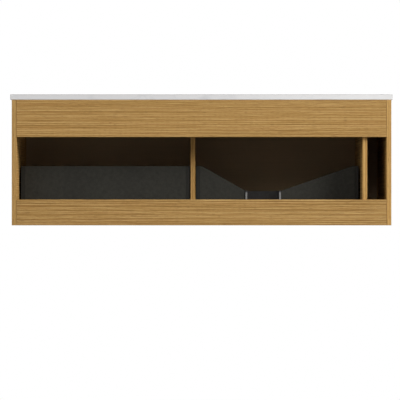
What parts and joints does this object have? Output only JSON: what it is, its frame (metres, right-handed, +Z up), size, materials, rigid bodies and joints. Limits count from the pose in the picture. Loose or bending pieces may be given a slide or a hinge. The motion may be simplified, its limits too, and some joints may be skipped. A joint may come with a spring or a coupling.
{
  "type": "wall-hung vanity cabinet",
  "caption": "Wall-hung oak vanity with an open back, a stone top over an undermount basin, a plain drawer, a drawer shaped round the plumbing and a slim hinged door.",
  "frame": {"origin": "middle of the hanging rail's wall face, in the wall plane", "axes": "+Y into the wall, so the front faces -Y; +X to the right seen from the front; +Z up"},
  "size_m": [1.524, 0.52, 0.522],
  "materials": {
    "oak": "satin veneer, grain along the length",
    "charcoal_board": "fine linen-textured laminate",
    "stone": "honed white with faint grey veins",
    "glaze": "gloss white glaze",
    "steel": "zinc plated",
    "aluminium": "satin anodised",
    "nylon": "moulded grey",
    "rubber": "translucent soft dots",
    "beech": "bare fluted beech"
  },
  "bodies": {
    "carcass": {"basin_clips": "steel", "bottom_panel": "oak", "carcass_dowels": "beech", "centre_divider": "oak", "countertop": "stone", "door_catch": "nylon", "door_pivot_bracket": "steel", "door_pivot_pins": "steel", "end_divider": "oak", "front_rail": "oak", "hanging_rail": "oak", "lower_rail": "oak", "plain_drawer_left_cabinet_runner": "steel", "plain_drawer_right_cabinet_runner": "steel", "side_panel_left": "oak", "side_panel_right": "oak", "sink_basin": "glaze", "sink_drawer_left_cabinet_runner": "steel", "sink_drawer_right_cabinet_runner": "steel"},
    "plain_drawer": {"plain_drawer_back": "charcoal_board", "plain_drawer_base": "charcoal_board", "plain_drawer_bumpers": "rubber", "plain_drawer_front": "oak", "plain_drawer_left_drawer_runner": "steel", "plain_drawer_left_side": "charcoal_board", "plain_drawer_locking_clips": "nylon", "plain_drawer_right_drawer_runner": "steel", "plain_drawer_right_side": "charcoal_board"},
    "plain_middle_runners": {"plain_drawer_left_middle_runner": "steel", "plain_drawer_right_middle_runner": "steel"},
    "sink_drawer": {"sink_drawer_base": "charcoal_board", "sink_drawer_bumpers": "rubber", "sink_drawer_edge_trims": "aluminium", "sink_drawer_front": "oak", "sink_drawer_left_drawer_runner": "steel", "sink_drawer_left_side": "charcoal_board", "sink_drawer_left_wing": "charcoal_board", "sink_drawer_locking_clips": "nylon", "sink_drawer_recess_end_wall": "charcoal_board", "sink_drawer_recess_left_wall": "charcoal_board", "sink_drawer_recess_right_wall": "charcoal_board", "sink_drawer_right_drawer_runner": "steel", "sink_drawer_right_side": "charcoal_board", "sink_drawer_right_wing": "charcoal_board"},
    "sink_middle_runners": {"sink_drawer_left_middle_runner": "steel", "sink_drawer_right_middle_runner": "steel"},
    "slim_door": {"door_bumpers": "rubber", "door_bushes": "nylon", "door_strike_plate": "steel", "slim_door": "oak"}
  },
  "joints": [
    {"name": "plain_drawer_slide", "type": "slide", "parent": "carcass", "child": "plain_drawer", "axis": [0, -1, 0], "range_m": [0, 0.33]},
    {"name": "plain_middle_slide", "type": "slide", "parent": "carcass", "child": "plain_middle_runners", "axis": [0, -1, 0], "range_m": [0, 0.165]},
    {"name": "sink_drawer_slide", "type": "slide", "parent": "carcass", "child": "sink_drawer", "axis": [0, -1, 0], "range_m": [0, 0.33]},
    {"name": "sink_middle_slide", "type": "slide", "parent": "carcass", "child": "sink_middle_runners", "axis": [0, -1, 0], "range_m": [0, 0.165]},
    {"name": "slim_door_swing", "type": "hinge", "parent": "carcass", "child": "slim_door", "pos_m": [-0.725, -0.503, -0.176], "axis": [0, 0, -1], "range_deg": [0, 110]}
  ],
  "couplings": [
    {"joint": "plain_middle_slide", "follows": "plain_drawer_slide", "ratio": 0.5},
    {"joint": "sink_middle_slide", "follows": "sink_drawer_slide", "ratio": 0.5}
  ]
}
